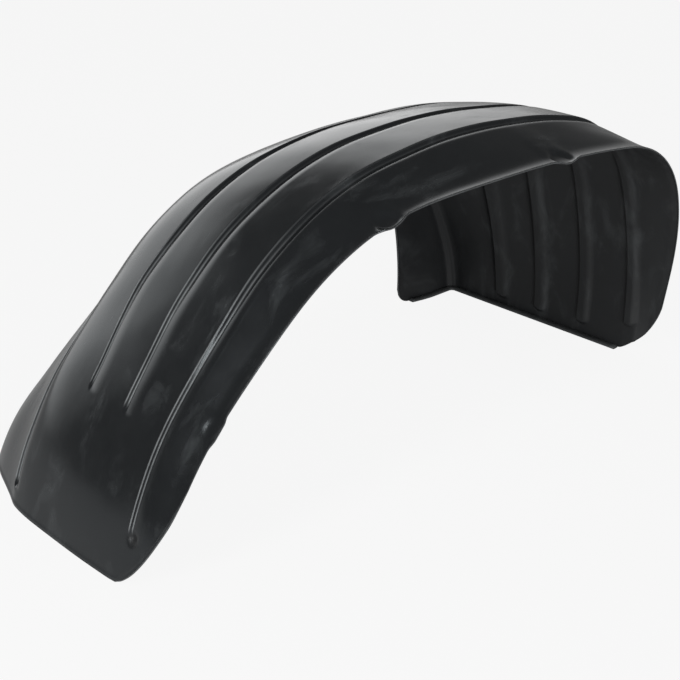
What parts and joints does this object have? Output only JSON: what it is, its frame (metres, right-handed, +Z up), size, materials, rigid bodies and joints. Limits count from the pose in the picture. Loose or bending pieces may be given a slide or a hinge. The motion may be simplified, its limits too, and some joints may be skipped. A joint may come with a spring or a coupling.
{
  "type": "wheel_arch_liner",
  "caption": "Black thermoformed plastic wheel arch liner: a grooved arch with a rolled inner shoulder, an inner wall, a turned outer skirt with round screw seats, and two feet with cut corners",
  "frame": {"origin": "centre of the footprint, on the floor that both feet stand on", "axes": "X runs along the arch from the short foot to the tall foot, Y from the outer skirt to the inner wall, Z up"},
  "size_m": [0.6876, 0.3284, 0.3043],
  "materials": {
    "black_plastic": "satin"
  },
  "bodies": {
    "root": {"arch_liner": "black_plastic"}
  },
  "joints": []
}
